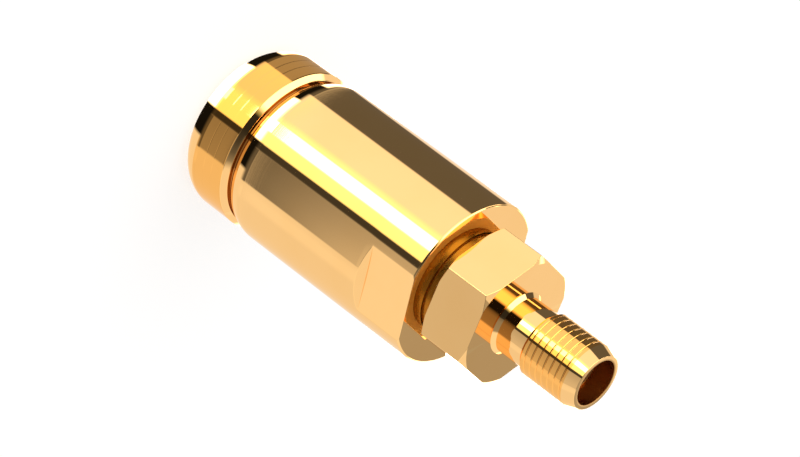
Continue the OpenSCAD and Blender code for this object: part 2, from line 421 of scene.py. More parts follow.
def slotted_tube(name, outside, inside, slot_end, slot_w, count, material, columns=14):
    """A tube with open slots from its first end. outside and inside are (radius, height) points from that end
    to the far end; slot_end is the number of the points where the slots stop."""
    half = math.pi / count
    form = bmesh.new()

    def row(points, i, share):
        """A point of a row: share -1 to 1 spans the finger, and +-2 is the middle of the slot."""
        r, z = points[i]
        edge = half - math.asin(slot_w / 2 / r)
        angle = math.copysign(half, share) if abs(share) > 1 else edge * share
        return form.verts.new(Vector((r * math.cos(angle), r * math.sin(angle), z)) * MM)

    shares = [-1 + 2 * i / columns for i in range(columns + 1)]
    wide = [-2] + shares + [2]
    for points in (outside, inside):
        rows = [[row(points, i, s) for s in wide] for i in range(len(points))]
        for i in range(len(points) - 1):
            for j in range(len(wide) - 1):
                if i >= slot_end or 0 < j < len(wide) - 2:
                    form.faces.new((rows[i][j], rows[i][j + 1], rows[i + 1][j + 1], rows[i + 1][j]))
    # Tip, far end, slot floors and slot sides
    ends = [(0, shares), (len(outside) - 1, wide), (slot_end, [-2, -1]), (slot_end, [1, 2])]
    for i, across in ends:
        for a, b in zip(across, across[1:]):
            form.faces.new([row(outside, i, a), row(outside, i, b), row(inside, i, b), row(inside, i, a)])
    for i in range(slot_end):
        for s in (-1, 1):
            corners = ((outside, i), (outside, i + 1), (inside, i + 1), (inside, i))
            form.faces.new([row(points, k, s) for points, k in corners])
    loose = [v for v in form.verts if not v.link_faces]
    bmesh.ops.delete(form, geom=loose, context="VERTS")
    bmesh.ops.remove_doubles(form, verts=form.verts, dist=WELD)
    piece = grown(new_piece(name, form), COPIES_TREE, {"Count": count, "Material": material})
    return weld(name, piece)


# Materials

def turning_lines_group():
    """Fine lines that a cutting tool leaves round the axis: along a cylinder and across a face."""
    t = new_group("turning_lines", "ShaderNodeTree")
    t.socket("Place", "NodeSocketVector")
    t.socket("Lines per Metre", "NodeSocketFloat", 20000.0)
    t.socket("Height", "NodeSocketFloat", side="OUTPUT")
    given = t.node("NodeGroupInput").outputs
    place = t.node("ShaderNodeSeparateXYZ", {0: given["Place"]}).outputs
    flat = t.node("ShaderNodeCombineXYZ", {0: place[0], 1: place[1]})
    radius = t.node("ShaderNodeVectorMath", {0: flat.outputs[0]}, operation="LENGTH")
    way = t.math("ADD", place[2], radius.outputs["Value"])
    lines = t.node("ShaderNodeTexNoise", {
        "W": t.math("MULTIPLY", way, given["Lines per Metre"]),
        "Scale": 1.0,
        "Detail": 2.0,
    }, noise_dimensions="1D")
    t.node("NodeGroupOutput", {"Height": lines.outputs[0]})
    return t.tree


def clouds_group():
    """Soft uneven patches, for tone and for handling marks."""
    t = new_group("soft_clouds", "ShaderNodeTree")
    t.socket("Place", "NodeSocketVector")
    t.socket("Patches per Metre", "NodeSocketFloat", 150.0)
    t.socket("Low", "NodeSocketFloat", 0.4)
    t.socket("High", "NodeSocketFloat", 0.7)
    t.socket("Mask", "NodeSocketFloat", side="OUTPUT")
    given = t.node("NodeGroupInput").outputs
    noise = t.node("ShaderNodeTexNoise", {
        "Vector": given["Place"],
        "Scale": given["Patches per Metre"],
        "Detail": 3.0,
        "Roughness": 0.55,
    })
    mask = t.node("ShaderNodeMapRange", {
        "Value": noise.outputs[0],
        "From Min": given["Low"],
        "From Max": given["High"],
    }, interpolation_type="SMOOTHSTEP")
    t.node("NodeGroupOutput", {"Mask": mask.outputs[0]})
    return t.tree


def worn_edges_group():
    """Edges that rubbing has made paler and brighter."""
    t = new_group("worn_edges", "ShaderNodeTree")
    t.socket("Start", "NodeSocketFloat", 0.52)
    t.socket("Full", "NodeSocketFloat", 0.6)
    t.socket("Mask", "NodeSocketFloat", side="OUTPUT")
    given = t.node("NodeGroupInput").outputs
    mask = t.node("ShaderNodeMapRange", {
        "Value": t.node("ShaderNodeNewGeometry").outputs["Pointiness"],
        "From Min": given["Start"],
        "From Max": given["Full"],
    }, interpolation_type="SMOOTHSTEP")
    t.node("NodeGroupOutput", {"Mask": mask.outputs[0]})
    return t.tree


def zone_group():
    """A stretch of a turned piece between two heights and two radii."""
    t = new_group("turned_zone", "ShaderNodeTree")
    t.socket("Place", "NodeSocketVector")
    for name in ("Low", "High", "Inner Radius", "Outer Radius"):
        t.socket(name, "NodeSocketFloat")
    t.socket("Mask", "NodeSocketFloat", side="OUTPUT")
    given = t.node("NodeGroupInput").outputs
    x, y, z = t.node("ShaderNodeSeparateXYZ", {0: given["Place"]}).outputs
    radius = t.math("SQRT", t.math("ADD", t.math("MULTIPLY", x, x), t.math("MULTIPLY", y, y)))
    along = t.math("MULTIPLY", t.math("GREATER_THAN", z, given["Low"]), t.math("LESS_THAN", z, given["High"]))
    above = t.math("GREATER_THAN", radius, given["Inner Radius"])
    across = t.math("MULTIPLY", above, t.math("LESS_THAN", radius, given["Outer Radius"]))
    t.node("NodeGroupOutput", {"Mask": t.math("MULTIPLY", along, across)})
    return t.tree


class Finish(Tree):
    """A material with a Principled shader."""

    def __init__(self, name, **sockets):
        self.material = bpy.data.materials.new(name)
        self.material.use_nodes = True
        super().__init__(self.material.node_tree)
        self.shader = self.tree.nodes["Principled BSDF"]
        for key, value in sockets.items():
            self.shader.inputs[key.replace("_", " ")].default_value = value
        self.place = self.node("ShaderNodeTexCoord").outputs["Object"]

    def group(self, tree, inputs=()):
        return self.node("ShaderNodeGroup", inputs, node_tree=tree).outputs[0]

    def span(self, mask, low, high):
        """A value that goes from low to high with a mask."""
        return self.node("ShaderNodeMapRange", {"Value": mask, "To Min": low, "To Max": high}).outputs[0]

    def feed(self, socket, value):
        self.tree.links.new(value, self.shader.inputs[socket])

    def bump(self, height, strength, distance):
        made = self.node("ShaderNodeBump", {"Height": height, "Strength": strength, "Distance": distance})
        self.feed("Normal", made.outputs[0])


def gold_finish(name, pale, deep, rough, lines, zones=()):
    """Gold plate on turned metal. In each zone, between two heights and two radii in millimetres, the metal
    takes the zone's tone, which paints shade, light or a reflection there, and may be duller."""
    f = Finish(name, Metallic=1.0, Specular_Tint=EDGE_GOLD)
    clouds = f.group(CLOUDS, {"Place": f.place})
    smudges = f.group(CLOUDS, {"Place": f.place, **SMUDGES})
    worn = f.group(WORN_EDGES)
    marks = f.group(TURNING_LINES, {"Place": f.place, "Lines per Metre": lines})
    bright = tuple(min(1.0, WORN_GAIN * c + WORN_LIFT) for c in pale[:3]) + (1.0,)
    tone = f.blend(f.math("MULTIPLY", clouds, CLOUD_SHARE), pale, deep)
    tone = f.blend(f.math("MULTIPLY", worn, WORN_SHARE), tone, bright)
    smudged = f.span(smudges, rough, SMUDGE_DULLING * rough)
    dull = f.math("ADD", smudged, f.span(marks, 0.0, LINE_DULLING * rough))
    for zone in zones:
        inside = f.group(ZONE, {
            "Place": f.place,
            "Low": zone["heights"][0] * MM,
            "High": zone["heights"][1] * MM,
            "Inner Radius": zone["radii"][0] * MM,
            "Outer Radius": zone["radii"][1] * MM,
        })
        tone = f.blend(inside, tone, zone["tone"])
        dull = f.math("ADD", dull, f.math("MULTIPLY", inside, zone["dullness"]))
    f.feed("Base Color", tone)
    f.feed("Roughness", dull)
    f.bump(marks, strength=0.12, distance=1e-6)
    return f.material


def insulator_finish(name, pale, deep, rough, shine=0.5):
    """Machined insulator: faint tool lines and slightly uneven tone."""
    f = Finish(name, Specular_IOR_Level=shine)
    clouds = f.group(CLOUDS, {"Place": f.place, "Patches per Metre": 600.0})
    marks = f.group(TURNING_LINES, {"Place": f.place, "Lines per Metre": 9000.0})
    f.feed("Base Color", f.blend(clouds, pale, deep))
    f.feed("Roughness", f.span(marks, rough - 0.06, rough + 0.08))
    f.bump(marks, strength=0.25, distance=4e-6)
    return f.material


def rubber_finish(name, pale, deep):
    """Moulded silicone: dull, with a fine grain and dusty patches."""
    f = Finish(name, Specular_IOR_Level=0.35)
    clouds = f.group(CLOUDS, {"Place": f.place, "Patches per Metre": 900.0})
    grain = f.node("ShaderNodeTexNoise", {"Vector": f.place, "Scale": 9000.0, "Detail": 2.0}).outputs[0]
    f.feed("Base Color", f.blend(clouds, pale, deep))
    f.feed("Roughness", f.span(grain, 0.5, 0.75))
    f.bump(grain, strength=0.3, distance=6e-6)
    return f.material


# How clouds of tone, rubbed edges, smudges and tool lines show on gold plate
EDGE_GOLD = (1.0, 0.9, 0.75, 1.0)
CLOUD_SHARE = 0.35
WORN_SHARE = 0.5
WORN_GAIN = 1.06
WORN_LIFT = 0.03
SMUDGES = {"Patches per Metre": 420.0, "Low": 0.5, "High": 0.8}
SMUDGE_DULLING = 1.9
LINE_DULLING = 0.4

THREAD_TREE = thread_tree()
COPIES_TREE = copies_tree()
TURNING_LINES = turning_lines_group()
CLOUDS = clouds_group()
WORN_EDGES = worn_edges_group()
ZONE = zone_group()

PALE_GOLD = (0.98, 0.59, 0.235, 1.0)
DEEP_GOLD = (0.95, 0.55, 0.2, 1.0)
# Painted reflection: a deeper gold that stands in for light bounced between fine grooves, on the nut's collar
# and the jack's thread
PAINTED_REFLECTION_GOLD = (0.95, 0.47, 0.12, 1.0)
# Painted light: a pale gold for the hexagon's underside that lightens what the gap between nut and hexagon
# reflects
UNDERSIDE_PAINTED_LIGHT = (1.0, 0.9, 0.6, 1.0)
SHADE_BROWN = (0.42, 0.16, 0.035, 1.0)
# Painted shade: the brown of the nut's groove
GROOVE_SHADE_BROWN = (0.48, 0.2, 0.045, 1.0)
# Painted shade: a dark gold for the inner shell, which darkens the gap between nut and hexagon
PALE_SHADED_SHELL = (0.4, 0.22, 0.045, 1.0)
DEEP_SHADED_SHELL = (0.34, 0.18, 0.035, 1.0)
PALE_BRONZE = (0.62, 0.38, 0.19, 1.0)
DEEP_BRONZE = (0.42, 0.24, 0.11, 1.0)
PALE_WHITE = (0.86, 0.85, 0.81, 1.0)
DEEP_WHITE = (0.78, 0.77, 0.72, 1.0)
PALE_AMBER = (0.2, 0.08, 0.024, 1.0)
DEEP_AMBER = (0.13, 0.05, 0.016, 1.0)
PALE_RED = (0.42, 0.055, 0.028, 1.0)
DEEP_RED = (0.3, 0.035, 0.02, 1.0)

# Zones of the gold plate with painted shade, painted light and painted reflections, which reach a little past
# the faces that they colour
FACE_MARGIN = 0.01
ZONE_MARGIN = 0.1
NOSE_TONED = 0.5
MOUTH_RIM = 0.03
# Painted reflection: the collar is toned deeper gold
COLLAR_ZONE = {
    "heights": (NOSE_LEN - NOSE_TONED, COLLAR_END - COLLAR_EDGE),
    "radii": (RIM_R, COLLAR_R + ZONE_MARGIN),
    "tone": PAINTED_REFLECTION_GOLD,
    "dullness": 0.0,
}
# Painted shade: the groove between collar and barrel is darkened brown
GROOVE_ZONE = {
    "heights": (COLLAR_END - FACE_MARGIN, GROOVE_END + FACE_MARGIN),
    "radii": (GROOVE_R - ZONE_MARGIN, COLLAR_R - COLLAR_EDGE - 2 * FACE_MARGIN),
    "tone": GROOVE_SHADE_BROWN,
    "dullness": 0.0,
}
# Painted reflection: the jack's thread is toned deeper gold
THREAD_ZONE = {
    "heights": (JACK_THREAD["start"], JACK_THREAD["start"] + JACK_THREAD["length"]),
    "radii": (JACK_END_R, JACK_THREAD["crest"] + ZONE_MARGIN),
    "tone": PAINTED_REFLECTION_GOLD,
    "dullness": 0.0,
}
# Painted shade: the jack's mouth is darkened brown and duller
MOUTH_ZONE = {
    "heights": (JACK_SEAT - ZONE_MARGIN, JACK_END + ZONE_MARGIN),
    "radii": (0.0, JACK_MOUTH_R + MOUTH_RIM),
    "tone": SHADE_BROWN,
    "dullness": 0.3,
}
# Painted light: the hexagon's underside is pale and dull
UNDERSIDE_ZONE = {
    "heights": (HEX_START - FACE_MARGIN, HEX_START + FACE_MARGIN),
    "radii": (SPIGOT_R, HEX_AF),
    "tone": UNDERSIDE_PAINTED_LIGHT,
    "dullness": 0.8,
}

NUT_GOLD = gold_finish(
    "nut_gold_plate", PALE_GOLD, DEEP_GOLD, rough=0.02, lines=16000.0, zones=(COLLAR_ZONE, GROOVE_ZONE),
)
BODY_GOLD = gold_finish(
    "body_gold_plate", PALE_GOLD, DEEP_GOLD, rough=0.022, lines=16000.0,
    zones=(THREAD_ZONE, MOUTH_ZONE, UNDERSIDE_ZONE),
)
# Painted shade on the inner shell
SHADED_SHELL_GOLD = gold_finish("shell_gold_plate", PALE_SHADED_SHELL, DEEP_SHADED_SHELL, rough=0.22, lines=16000.0)
CONTACT_GOLD = gold_finish("contact_gold", PALE_GOLD, DEEP_GOLD, rough=0.09, lines=26000.0)
BRONZE = gold_finish("spring_bronze", PALE_BRONZE, DEEP_BRONZE, rough=0.2, lines=12000.0)
WHITE_INSULATOR = insulator_finish("white_insulator", PALE_WHITE, DEEP_WHITE, rough=0.42)
AMBER_INSULATOR = insulator_finish("amber_insulator", PALE_AMBER, DEEP_AMBER, rough=0.55, shine=0.15)
SILICONE = rubber_finish("silicone_rubber", PALE_RED, DEEP_RED)


def hand_over(piece, body, material, node):
    """Dresses a finished piece and puts it in the place of its solid."""
    piece.data.materials.clear()
    piece.data.materials.append(material)
    shade_smooth(piece)
    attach(piece, body)
    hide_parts(node)


# The nut

def flat_columns():
    """Column angles round the rear of the nut, with columns on the borders of the two flats."""
    quarter = NUT_COLUMNS // 4
    step = 360 / NUT_COLUMNS
    rear = math.degrees(math.acos(FLAT_R / (BARREL_R - REAR_EDGE)))
    side = math.degrees(math.acos(FLAT_R / BARREL_R))
    knots = [(0, 0.0), (round(rear / step), rear), (round(side / step), side), (quarter, 90.0)]
    angles = []
    for i in range(NUT_COLUMNS):
        k = (i + quarter) % (2 * quarter) - quarter
        for (i0, a0), (i1, a1) in zip(knots, knots[1:]):
            if i0 <= abs(k) <= i1:
                off = math.copysign(a0 + (a1 - a0) * (abs(k) - i0) / (i1 - i0), k)
        angles.append(math.radians(FLAT_TURN + (i - k) * step + off))
    return angles


def front_arc(radius, height, reach, fall):
    """Points of a rounded front edge that falls from a cylinder, as (radius, height)."""
    arc_r = (reach ** 2 + fall ** 2) / (2 * fall)
    sweep = math.asin(reach / arc_r)
    angles = [sweep * i / ARC_STEPS for i in range(ARC_STEPS + 1)]
    return [(radius - arc_r * (1 - math.cos(a)), height - arc_r * math.sin(a)) for a in angles]


def make_nut():
    """The coupling nut: bore, flats, barrel, groove, collar, nose and thread."""
    even = even_angles(NUT_COLUMNS, FLAT_TURN)
    fitted = flat_columns()
    to_flat = [abs(math.cos(a - math.radians(FLAT_TURN))) for a in fitted]
    flat_r = [min(BARREL_R, FLAT_R / max(c, 1e-6)) for c in to_flat]
    # The shoulder of a flat slopes up to the barrel
    slope_z = [FLAT_START - max(0.0, BARREL_R * c - FLAT_R) / math.tan(FLAT_SLOPE) for c in to_flat]
    rear_r = BARREL_R - REAR_EDGE
    inside = [
        (NUT_THREAD["crest"], NUT_THREAD["start"] + NUT_THREAD["length"]),
        (RELIEF_R, NUT_THREAD["start"] + NUT_THREAD["length"]),
        (RELIEF_R, RELIEF_END),
        (NUT_BORE_R, RELIEF_END),
        (NUT_BORE_R, RING_START - RING_GAP),
        (RING_OUTER_R + RING_GAP, RING_START - RING_GAP),
        (RING_OUTER_R + RING_GAP, RING_START + RING_T + RING_GAP),
        (NUT_BORE_R, RING_START + RING_T + RING_GAP),
        (NUT_BORE_R, NUT_LEN - REAR_EDGE),
        (NUT_BORE_R + REAR_EDGE, NUT_LEN),
    ]
    rings = [ring(even, r, z) for r, z in inside]
    rings.append(ring(fitted, [min(rear_r, r) for r in flat_r], NUT_LEN))
    rings.append(ring(fitted, flat_r, [NUT_LEN - max(0.0, r - rear_r) for r in flat_r]))
    rings.append(ring(fitted, flat_r, FLAT_START))
    rings.append(ring(fitted, BARREL_R, slope_z))
    rings.append(ring(fitted, BARREL_R, min(slope_z) - FLAT_CLEAR))
    outside = front_arc(BARREL_R, GROOVE_END + SHOULDER_LEN, SHOULDER_LEN, SHOULDER_FALL)
    outside += [
        (GROOVE_R, GROOVE_END),
        (GROOVE_R, COLLAR_END),
        (COLLAR_R - COLLAR_EDGE, COLLAR_END),
        (COLLAR_R, COLLAR_END - COLLAR_EDGE),
    ]
    for z in reversed(LINE_HEIGHTS):
        outside += [(COLLAR_R, z + LINE_BORDER), (COLLAR_R, z + LINE_HALF), (COLLAR_R - LINE_DEPTH, z)]
        outside += [(COLLAR_R, z - LINE_HALF), (COLLAR_R, z - LINE_BORDER)]
    outside += front_arc(COLLAR_R, NOSE_LEN, NOSE_LEN, COLLAR_R - RIM_R)
    outside += [(MOUTH_R, 0.0), (NUT_THREAD["crest"], NUT_THREAD["start"])]
    rings += [ring(even, r, z) for r, z in outside]
    lines = (LINE_HEIGHTS[0] - LINE_BORDER, LINE_HEIGHTS[-1] + LINE_BORDER)
    shape = soften(skin("nut_shape", rings, closed=False), NUT_SOFT, leave=[lines])
    thread = screw_thread("nut_thread", NUT_THREAD, NUT_COLUMNS, FLAT_TURN, NUT_GOLD)
    return weld("polished_nut", shape, thread)


# The jack with its hexagon

def hexagon_columns():
    """Column angles round the hexagon and their angles from the middle of their flat, with columns where the
    chamfers of the corners start."""
    half = JACK_COLUMNS // 12
    start = math.acos(HEX_AF / 2 / HEX_FACE_R)
    plain_steps = round(start / math.radians(30) * half)
    angles, off_middle = [], []
    for i in range(JACK_COLUMNS):
        k = i % (2 * half) - half
        if abs(k) <= plain_steps:
            off = start * abs(k) / plain_steps
        else:
            off = start + (math.radians(30) - start) * (abs(k) - plain_steps) / (half - plain_steps)
        off_middle.append(math.copysign(off, k))
        angles.append(math.radians(HEX_TURN + 30 + 60 * (i // (2 * half))) + off_middle[-1])
    return angles, off_middle


def make_jack():
    """The hexagon with its spigot, the neck and the threaded jack."""
    angles = even_angles(JACK_COLUMNS, HEX_TURN)
    fitted, off_middle = hexagon_columns()
    hex_r = [HEX_AF / 2 / math.cos(a) for a in off_middle]
    face_r = [min(r, HEX_FACE_R) for r in hex_r]
    drop = [(r - f) * math.tan(HEX_CHAMFER) for r, f in zip(hex_r, face_r)]
    thread_end = JACK_THREAD["start"] + JACK_THREAD["length"]
    lower = [
        (JACK_THREAD["crest"], thread_end),
        (JACK_END_R, JACK_END),
        (JACK_MOUTH_R, JACK_END),
        (JACK_MOUTH_R, JACK_SEAT),
        (JACK_INSULATOR_R + PRESS_GAP, JACK_SEAT),
        (JACK_INSULATOR_R + PRESS_GAP, SPIGOT_START + FLANGE_T),
        (FLANGE_R + PRESS_GAP, SPIGOT_START + FLANGE_T),
        (FLANGE_R + PRESS_GAP, SPIGOT_START),
        (SPIGOT_R, SPIGOT_START),
        (SPIGOT_R, HEX_START),
    ]
    upper = [
        (NECK_R + NECK_CONE, HEX_END),
        (NECK_R, HEX_END + NECK_CONE),
        (NECK_R, NECK_END),
        (JACK_THREAD["crest"], JACK_THREAD["start"]),
    ]
    rings = [ring(angles, r, z) for r, z in lower]
    rings.append(ring(fitted, face_r, HEX_START))
    rings.append(ring(fitted, hex_r, [HEX_START + d for d in drop]))
    rings.append(ring(fitted, hex_r, [HEX_END - d for d in drop]))
    rings.append(ring(fitted, face_r, HEX_END))
    rings += [ring(angles, r, z) for r, z in upper]
    shape = soften(skin("jack_shape", rings, closed=False), JACK_SOFT)
    thread = screw_thread("jack_thread", JACK_THREAD, JACK_COLUMNS, HEX_TURN, BODY_GOLD)
    return weld("jack_with_hexagon", shape, thread)


# Pieces inside

def make_shell():
    """The inner shell, with the snap ring's groove."""
    section = [
        (SLEEVE_R + PRESS_GAP, SHELL_FACE),
        (SHELL_R, SHELL_FACE),
        (SHELL_R, RING_START - PRESS_GAP),
        (RING_INNER_R - PRESS_GAP, RING_START - PRESS_GAP),
        (RING_INNER_R - PRESS_GAP, RING_START + RING_T + PRESS_GAP),
        (SHELL_R, RING_START + RING_T + PRESS_GAP),
        (SHELL_R, HEX_START),
        (SPIGOT_R + PRESS_GAP, HEX_START),
        (SPIGOT_R + PRESS_GAP, SPIGOT_START),
        (PLUG_INSULATOR_R + PRESS_GAP, SPIGOT_START),
        (PLUG_INSULATOR_R + PRESS_GAP, SLEEVE_END),
        (SLEEVE_R + PRESS_GAP, SLEEVE_END),
    ]
    return soften(turned("inner_shell", section, SHELL_COLUMNS), SHELL_SOFT)


def make_sleeve():
    """The slotted sleeve that enters the mating jack."""
    lead_end = SLEEVE_START + 2 * SLEEVE_LEAD
    slot_end = SLEEVE_START + SLOT_LEN
    outside = [
        (SLEEVE_R - SLEEVE_LEAD, SLEEVE_START),
        (SLEEVE_R, lead_end),
        (SLEEVE_R, slot_end),
        (SLEEVE_R, SLEEVE_END),
    ]
    inside = [
        (SLEEVE_BORE_R, SLEEVE_START),
        (SLEEVE_BORE_R, lead_end),
        (SLEEVE_BORE_R, slot_end),
        (SLEEVE_BORE_R, SLEEVE_END),
    ]
    last_slotted = outside.index((SLEEVE_R, slot_end))
    tube = slotted_tube("slotted_sleeve", outside, inside, last_slotted, SLOT_W, SLOT_COUNT, CONTACT_GOLD)
    return soften(tube, SLEEVE_SOFT)


def make_plug_insulator():
    """The plug's stepped insulator."""
    section = [
        (PIN_R + PRESS_GAP, INSULATOR_START),
        (SLEEVE_BORE_R - PRESS_GAP, INSULATOR_START),
        (SLEEVE_BORE_R - PRESS_GAP, SLEEVE_END),
        (PLUG_INSULATOR_R, SLEEVE_END),
        (PLUG_INSULATOR_R, SPIGOT_START),
        (PIN_R + PRESS_GAP, SPIGOT_START),
    ]
    return soften(turned("plug_dielectric", section), PLUG_INSULATOR_SOFT)


def make_pin():
    """The plug's centre pin, with a stub that enters the socket."""
    section = [
        (0.0, TIP_START),
        (POINT_R, TIP_START),
        (TIP_R, TIP_START + TIP_TAPER),
        (TIP_R, INSULATOR_START),
        (PIN_R, INSULATOR_START),
        (PIN_R, SPIGOT_START),
        (STUB_R, SPIGOT_START),
        (STUB_R, SPIGOT_START + STUB_LEN),
        (0.0, SPIGOT_START + STUB_LEN),
    ]
    return soften(turned("centre_pin", section, PIN_COLUMNS), PIN_SOFT)


def make_gasket():
    """A moulded ring whose front face is crowned."""
    inner = SLEEVE_R + PRESS_GAP
    middle = (inner + GASKET_R) / 2
    half = (GASKET_R - inner) / 2
    section = []
    for i in range(GASKET_CROWN_STEPS + 1):
        a = math.pi * i / GASKET_CROWN_STEPS
        section.append((middle - half * math.cos(a), SHELL_FACE - GASKET_T + half * (1 - math.sin(a))))
    section += [(GASKET_R, SHELL_FACE), (inner, SHELL_FACE)]
    return soften(turned("sealing_ring", section, GASKET_COLUMNS), GASKET_SOFT)


def make_snap_ring():
    """A flat split ring."""
    half = math.radians(RING_SPLIT / 2)
    angles = [half + (2 * math.pi - 2 * half) * i / RING_STEPS for i in range(RING_STEPS + 1)]
    corners = [
        (RING_INNER_R, RING_START),
        (RING_OUTER_R, RING_START),
        (RING_OUTER_R, RING_START + RING_T),
        (RING_INNER_R, RING_START + RING_T),
    ]
    form = bmesh.new()
    rows = []
    for a in angles:
        points = [Vector((r * math.cos(a), r * math.sin(a), z)) * MM for r, z in corners]
        rows.append([form.verts.new(point) for point in points])
    for low, high in zip(rows, rows[1:]):
        for i in range(len(corners)):
            j = (i + 1) % len(corners)
            form.faces.new((low[i], low[j], high[j], high[i]))
    form.faces.new(rows[0])
    form.faces.new(rows[-1])
    bmesh.ops.recalc_face_normals(form, faces=form.faces)
    return soften(new_piece("spring_ring", form), RING_SOFT)


def make_jack_insulator():
    """The jack's insulator, with a flange at its rear."""
    section = [
        (SOCKET_R + PRESS_GAP, SPIGOT_START),
        (FLANGE_R, SPIGOT_START),
        (FLANGE_R, SPIGOT_START + FLANGE_T),
        (JACK_INSULATOR_R, SPIGOT_START + FLANGE_T),
        (JACK_INSULATOR_R, JACK_SEAT),
        (SOCKET_R + PRESS_GAP, JACK_SEAT),
    ]
    return soften(turned("jack_dielectric", section), JACK_INSULATOR_SOFT)


def make_socket():
    """The jack's slotted socket: fingers at the mouth, a blind hole for the pin's stub at the other end."""
    slot_end = JACK_SEAT - SOCKET_SLOT_LEN
    hole_end = JACK_SEAT - SOCKET_DEPTH
    lead_end = JACK_SEAT - 2 * SOCKET_LEAD
    outside = [
        (SOCKET_R - SOCKET_LEAD, JACK_SEAT),
        (SOCKET_R, lead_end),
        (SOCKET_R, slot_end),
        (SOCKET_R, hole_end),
    ]
    inside = [
        (SOCKET_BORE_R + SOCKET_LEAD, JACK_SEAT),
        (SOCKET_BORE_R, lead_end),
        (SOCKET_BORE_R, slot_end),
        (SOCKET_BORE_R, hole_end),
    ]
    last_slotted = outside.index((SOCKET_R, slot_end))
    fingers = slotted_tube(
        "socket_fingers", outside, inside, last_slotted, SOCKET_SLOT_W, SOCKET_SLOT_COUNT, CONTACT_GOLD,
        columns=SOCKET_FINGER_COLUMNS,
    )
    stub_end = SPIGOT_START + STUB_LEN + PRESS_GAP
    rear = [
        (0.0, hole_end),
        (SOCKET_R, hole_end),
        (SOCKET_R, SPIGOT_START),
        (STUB_R + PRESS_GAP, SPIGOT_START),
        (STUB_R + PRESS_GAP, stub_end),
        (0.0, stub_end),
    ]
    back = turned("socket_rear", rear, SOCKET_REAR_COLUMNS)
    return soften(weld("centre_socket", fingers, back), SOCKET_SOFT)


hand_over(make_nut(), "coupling_nut", NUT_GOLD, "coupling_nut")
hand_over(make_jack(), "adapter_body", BODY_GOLD, "jack_body")
hand_over(make_shell(), "adapter_body", SHADED_SHELL_GOLD, "plug_shell")
hand_over(make_sleeve(), "adapter_body", CONTACT_GOLD, "outer_contact")
hand_over(make_pin(), "adapter_body", CONTACT_GOLD, "plug_pin")
hand_over(make_socket(), "adapter_body", CONTACT_GOLD, "jack_contact")
hand_over(make_plug_insulator(), "adapter_body", WHITE_INSULATOR, "plug_insulator")
hand_over(make_jack_insulator(), "adapter_body", AMBER_INSULATOR, "jack_insulator")
hand_over(make_gasket(), "adapter_body", SILICONE, "face_gasket")
hand_over(make_snap_ring(), "adapter_body", BRONZE, "snap_ring")


# Camera

IMAGE_W = 800
FOCAL_PX = 3794
SENSOR_MM = 36.0
CAMERA_ELEVATION = math.radians(30)
CAMERA_ROLL = math.radians(126.775)
CAMERA_DISTANCE = 0.340
AIM_HEIGHT = 0.0206
AIM_OFFSET = (-0.000063, 0.000744)


def make_camera():
    """A long lens, rolled so that the adapter's axis runs down to the right."""
    data = bpy.data.cameras.new("camera")
    data.sensor_width = SENSOR_MM
    data.lens = FOCAL_PX / IMAGE_W * SENSOR_MM
    data.clip_start = 0.01
    data.clip_end = 50.0
    camera = bpy.data.objects.new("camera", data)
    bpy.context.scene.collection.objects.link(camera)
    back = Vector((0.0, -math.cos(CAMERA_ELEVATION), math.sin(CAMERA_ELEVATION)))
    facing = (-back).to_track_quat("-Z", "Y").to_matrix() @ Matrix.Rotation(CAMERA_ROLL, 3, "Z")
    right, up = facing.col[0], facing.col[1]
    aim = Vector((0.0, 0.0, AIM_HEIGHT)) + right * AIM_OFFSET[0] + up * AIM_OFFSET[1]
    camera.matrix_world = Matrix.Translation(aim + back * CAMERA_DISTANCE) @ facing.to_4x4()
    bpy.context.scene.camera = camera


# Studio

# The studio as a mirror shows it that faces a given angle, in degrees from the camera's side towards +X:
# brightness and share of blue. Upright mirrors show the first table, and the low part of the studio differs.
UPRIGHT = (
    (-80, 1.0, 1), (-77, 1.0, 1), (-74.5, 0.14, 1), (-41.2, 0.14, 1), (-40, 1.26, 1), (-17, 1.3, 1),
    (-15.5, 1.5, 0.8), (-12.2, 1.9, 0.65), (-11.5, 5.0, 1), (-3.9, 5.0, 1), (-3.2, 1.9, 0.6),
    (4.5, 1.75, 0.6), (5.2, 0.06, 1), (9, 0.06, 1), (9.7, 0.3, 1), (31.5, 0.4, 1), (33, 0.97, 1),
    (38, 1.04, 1), (42, 1.04, 1), (46, 0.95, 1), (60, 0.95, 1),
)
LOW = (
    (-80, 1.0, 1), (-77, 1.0, 1), (-74.5, 0.45, 1), (-41.2, 0.45, 1), (-40, 1.4, 0.8), (-16, 1.3, 0.9),
    (-10, 1.8, 0.6), (4.5, 1.75, 0.6), (5.2, 0.05, 1), (9, 0.05, 1), (9.7, 0.34, 1), (31.5, 0.4, 1),
    (33, 0.98, 1), (60, 0.97, 1),
)
# For mirrors that lean down towards the plug, that lean up by about 30 degrees, and that lean up by more
LEANING_DOWN = (
    (-80, 4.0, 1), (-57, 4.0, 1), (-54.5, 0.01, 1), (-33, 0.01, 1), (-31.5, 5.0, 1), (4, 5.0, 1),
    (5, 0.008, 1), (24, 0.008, 1), (26, 1.0, 1), (60, 1.0, 1),
)
LEANING_BACK = (
    (-80, 0.9, 1), (-76, 0.9, 1), (-73, 0.12, 1), (-44, 0.12, 1), (-38, 1.5, 0.7), (-32, 2.2, 0.7),
    (-17, 2.2, 0.7), (-11, 0.012, 1), (4, 0.012, 1), (9, 0.2, 1), (14, 0.3, 1), (33, 0.36, 1), (37, 1.1, 1),
    (60, 1.1, 1),
)
LEANING_UP = (
    (-80, 1.0, 1), (-70, 1.0, 1), (-66, 3.0, 0.9), (-16, 3.0, 0.9), (-10, 0.6, 0.5), (-7, 0.03, 1),
    (4, 0.03, 1), (14, 0.07, 1), (22, 0.14, 1), (28, 0.3, 1), (34, 1.0, 1), (60, 1.0, 1),
)
BAND_TOP = 5.0
DIFFUSE_LEVEL = 0.7
BACKDROP_LEVEL = 4.0

